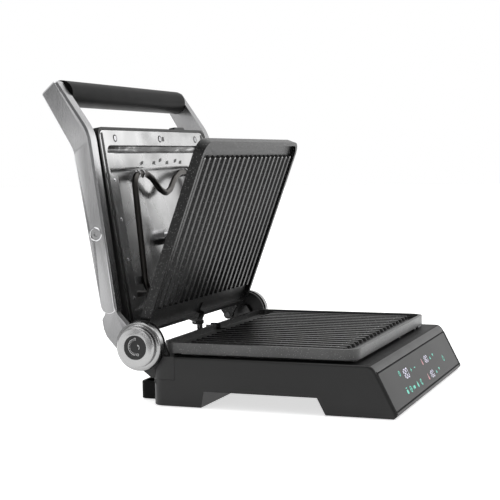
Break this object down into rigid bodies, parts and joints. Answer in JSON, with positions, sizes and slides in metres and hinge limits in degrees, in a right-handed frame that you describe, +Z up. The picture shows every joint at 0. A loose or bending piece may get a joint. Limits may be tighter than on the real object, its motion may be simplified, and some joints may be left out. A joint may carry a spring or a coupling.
{
  "type": "panini press",
  "caption": "Open contact grill: ribbed plate on a slanted base with a touch panel, and a two-arm lid whose head tilts a second ribbed plate over a mirror reflector.",
  "frame": {"origin": "on the table, under the middle of the object's box in the pictured pose", "axes": "+X to the object's right seen from its control panel, +Y to the rear, +Z up"},
  "size_m": [0.3416, 0.3824, 0.344],
  "materials": {
    "base_plastic": "fine-textured satin charcoal plastic",
    "under_plastic": "plain black moulded plastic",
    "foot_rubber": "matt rubber",
    "screw_steel": "plated screw steel",
    "panel_glass": "glossy tinted touch panel",
    "circuit_board": "solder-masked circuit board",
    "reflector_steel": "bright rolled mirror steel",
    "element_tube": "dark oxidised heating tube",
    "bracket_steel": "plain pressed steel",
    "plate_coating": "cast aluminium under a speckled dark non-stick coat",
    "axle_steel": "turned steel",
    "axle_black": "black-oxide steel",
    "ring_black": "glossy black",
    "knob_silver": "satin turned aluminium",
    "arm_brushed": "brushed aluminium with a polished edge",
    "grip_black": "satin black moulded grip",
    "head_plastic": "satin black heat-proof plastic",
    "tray_plastic": "satin charcoal plastic",
    "conduit_chrome": "polished tube",
    "sleeve_braid": "braided glass-fibre sleeve"
  },
  "bodies": {
    "base": {"base_housing": "base_plastic", "bottom_pan": "under_plastic", "foot_cover_front": "under_plastic", "rubber_feet": "foot_rubber", "pan_screws": "screw_steel", "control_panel": "panel_glass", "control_board": "circuit_board", "power_board": "circuit_board", "lower_reflector": "reflector_steel", "lower_heating_element": "element_tube", "lower_element_brackets": "bracket_steel", "lower_thermostat": "bracket_steel", "plate_support_tabs": "bracket_steel", "lower_grill_plate": "plate_coating", "hinge_bracket_left": "base_plastic", "hinge_bracket_right": "base_plastic", "hinge_rings": "ring_black", "hinge_axles": "axle_black", "conduit_boss": "base_plastic", "conduit_post": "conduit_chrome", "conduit_grommet": "foot_rubber", "conduit_sleeve": "sleeve_braid", "cord_gland": "under_plastic"},
    "drip_tray": {"drip_tray": "tray_plastic"},
    "lower_release": {"lower_release_button": "head_plastic"},
    "lock_knob": {"knob_ring": "knob_silver", "knob_disc": "ring_black"},
    "lid_frame": {"arm_left": "arm_brushed", "arm_right": "arm_brushed", "pivot_screws": "arm_brushed", "handle_grip": "grip_black", "grip_collars": "grip_black", "grip_rod": "axle_steel", "hub_cap": "knob_silver", "hub_cap_disc": "ring_black"},
    "head": {"upper_housing": "head_plastic", "upper_reflector": "reflector_steel", "upper_heating_element": "element_tube", "upper_element_brackets": "bracket_steel", "upper_thermostat": "bracket_steel", "reflector_screws": "screw_steel", "head_pivots": "axle_steel", "tip_pins": "axle_black"},
    "upper_release": {"upper_release_button": "head_plastic"},
    "upper_plate": {"upper_grill_plate": "plate_coating", "plate_tabs": "plate_coating"}
  },
  "joints": [
    {"name": "lid_hinge", "type": "hinge", "parent": "base", "child": "lid_frame", "pos_m": [0, 0.08413, 0.0631], "axis": [-1, 0, 0], "range_deg": [-96.9, 20], "deforming": ["conduit_sleeve"]},
    {"name": "head_tilt", "type": "hinge", "parent": "lid_frame", "child": "head", "pos_m": [0, 0.13067, 0.18061], "axis": [1, 0, 0], "range_deg": [0, 4]},
    {"name": "upper_plate_tip", "type": "hinge", "parent": "head", "child": "upper_plate", "pos_m": [0, 0.09811, 0.06121], "axis": [1, 0, 0], "range_deg": [-29.4, 6.2]},
    {"name": "upper_release_press", "type": "slide", "parent": "head", "child": "upper_release", "axis": [0, -0.1547, -0.988], "range_m": [0, 0.003], "stiffness_N_per_m": 400},
    {"name": "lower_release_press", "type": "slide", "parent": "base", "child": "lower_release", "axis": [-1, 0, 0], "range_m": [0, 0.002], "stiffness_N_per_m": 400},
    {"name": "lock_knob_turn", "type": "hinge", "parent": "base", "child": "lock_knob", "pos_m": [-0.168, 0.08413, 0.0631], "axis": [-1, 0, 0], "range_deg": [0, 60]},
    {"name": "drip_tray_slide", "type": "slide", "parent": "base", "child": "drip_tray", "axis": [0, 1, 0], "range_m": [0, 0.035]}
  ],
  "couplings": [
    {"joint": "upper_plate_tip", "follows": "lid_hinge", "ratio": 0.30237}
  ]
}
